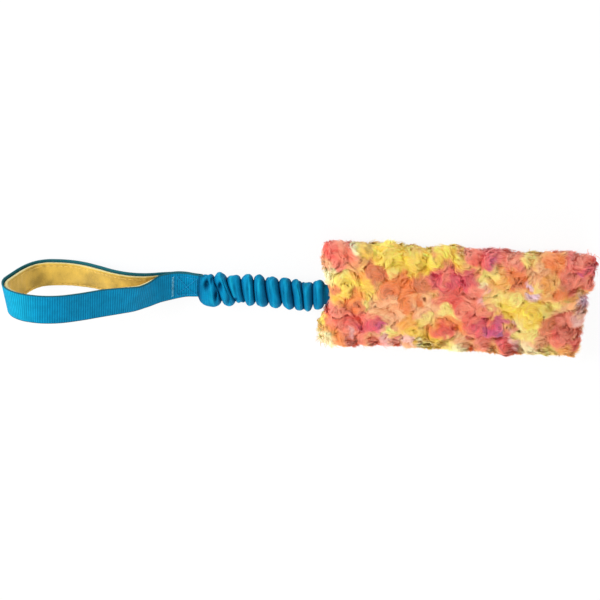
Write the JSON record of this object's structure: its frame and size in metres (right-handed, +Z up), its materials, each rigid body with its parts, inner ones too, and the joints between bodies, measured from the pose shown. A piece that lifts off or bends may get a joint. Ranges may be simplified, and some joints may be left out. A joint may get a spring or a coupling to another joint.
{
  "type": "bungee tug toy",
  "caption": "Tug toy for a dog: a fleece-lined hand loop of webbing, a gathered sleeve over flat elastic, and a flat stuffed pad of dyed fur.",
  "frame": {"origin": "on the surface that the toy lies on, under the middle of its length and width", "axes": "+X from the hand loop to the pad, along the toy's length; +Z up from the surface; +Y across the pad"},
  "size_m": [0.4803, 0.092, 0.0654],
  "materials": {
    "webbing": "ribbed nylon webbing, slight sheen",
    "lining": "short fleece",
    "blue_thread": "bonded nylon thread",
    "gold_thread": "bonded nylon thread",
    "elastic": "woven flat elastic",
    "fur": "dyed curly pile",
    "wadding": "polyester wadding",
    "seam_thread": "sewing thread"
  },
  "bodies": {
    "pad": {"fur_panel_top": "fur", "fur_panel_bottom": "fur", "pad_filling_top": "wadding", "pad_filling_bottom": "wadding", "pad_core_strap": "webbing", "core_far_tack": "blue_thread", "pad_seam_left": "seam_thread", "pad_seam_right": "seam_thread", "pad_seam_end": "seam_thread", "mouth_stitch_left": "seam_thread", "mouth_stitch_right": "seam_thread", "sleeve_rear_tack": "blue_thread"},
    "bungee_rear": {"rear_anchor_tab": "webbing", "elastic_rear_tack": "blue_thread"},
    "elastic": {"bungee_elastic": "elastic"},
    "bungee_front": {"bungee_sleeve": "webbing", "front_anchor_tab": "webbing", "elastic_front_tack": "blue_thread"},
    "handle": {"handle_webbing": "webbing", "handle_lining": "lining", "lining_stitch_left": "gold_thread", "lining_stitch_right": "gold_thread", "neck_box_needle_thread": "blue_thread", "neck_box_bobbin_thread": "blue_thread", "neck_bar_tack_upper": "blue_thread", "neck_bar_tack_lower": "blue_thread"}
  },
  "joints": [
    {"name": "pad_bend", "type": "hinge", "parent": "pad", "child": "bungee_rear", "pos_m": [0.01325, -0.002, 0.015], "axis": [0, 1, 0], "range_deg": [-75, 75], "stiffness_Nm_per_rad": 0.05},
    {"name": "bungee_twist", "type": "hinge", "parent": "bungee_rear", "child": "elastic", "pos_m": [0.01325, -0.002, 0.015], "axis": [1, 0, 0], "range_deg": [-90, 90], "stiffness_Nm_per_rad": 0.02},
    {"name": "bungee_stretch", "type": "slide", "parent": "elastic", "child": "bungee_front", "axis": [-1, 0, 0], "range_m": [0, 0.1], "stiffness_N_per_m": 250, "deforming": ["bungee_sleeve", "bungee_elastic"]},
    {"name": "handle_fold", "type": "hinge", "parent": "bungee_front", "child": "handle", "pos_m": [-0.07775, -0.002, 0.015], "axis": [0, 1, 0], "range_deg": [-90, 90], "stiffness_Nm_per_rad": 0.03}
  ]
}
